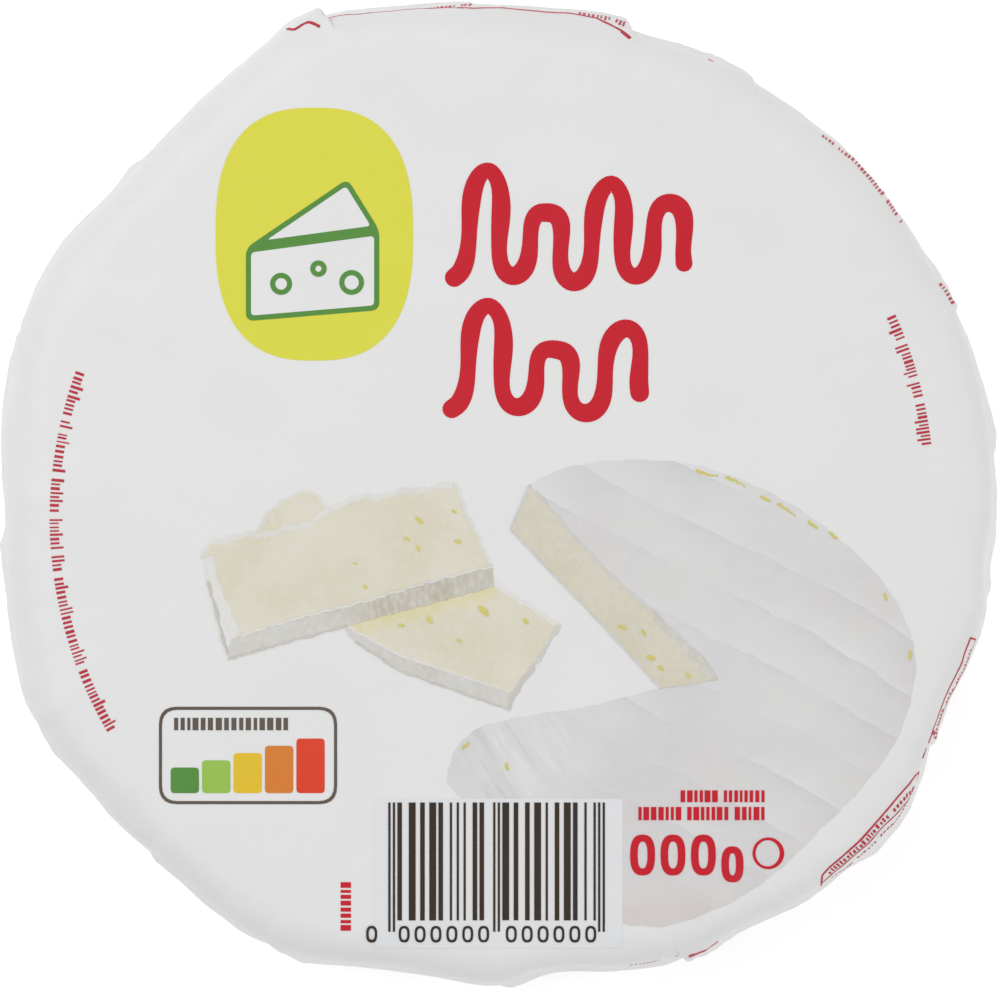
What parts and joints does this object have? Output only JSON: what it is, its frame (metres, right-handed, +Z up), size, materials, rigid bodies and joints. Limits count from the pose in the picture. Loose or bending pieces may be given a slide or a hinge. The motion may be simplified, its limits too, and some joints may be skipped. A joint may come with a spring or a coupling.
{
  "type": "wrapped brie cheese wheel",
  "caption": "Small round soft cheese wheel shut in a white printed film wrap, laid flat, with the film folded down the side and under the base.",
  "frame": {"origin": "middle of the underside's box, on the surface that the wheel lies on", "axes": "+Z up, out of the printed face; +Y towards the top of the print"},
  "size_m": [0.145, 0.1432, 0.032],
  "materials": {
    "film": "white printed film, satin",
    "ink_red": "printed red, satin",
    "ink_yellow": "printed yellow, satin",
    "ink_orange": "printed orange, satin",
    "ink_lime": "printed yellow-green, satin",
    "ink_green": "printed green, satin",
    "ink_dark": "printed dark brown, satin",
    "ink_grey": "printed grey, satin",
    "ink_rind": "printed pale rind, satin",
    "ink_paste": "printed cream paste, satin"
  },
  "bodies": {
    "root": {"wrapped_wheel": "film"}
  },
  "joints": []
}
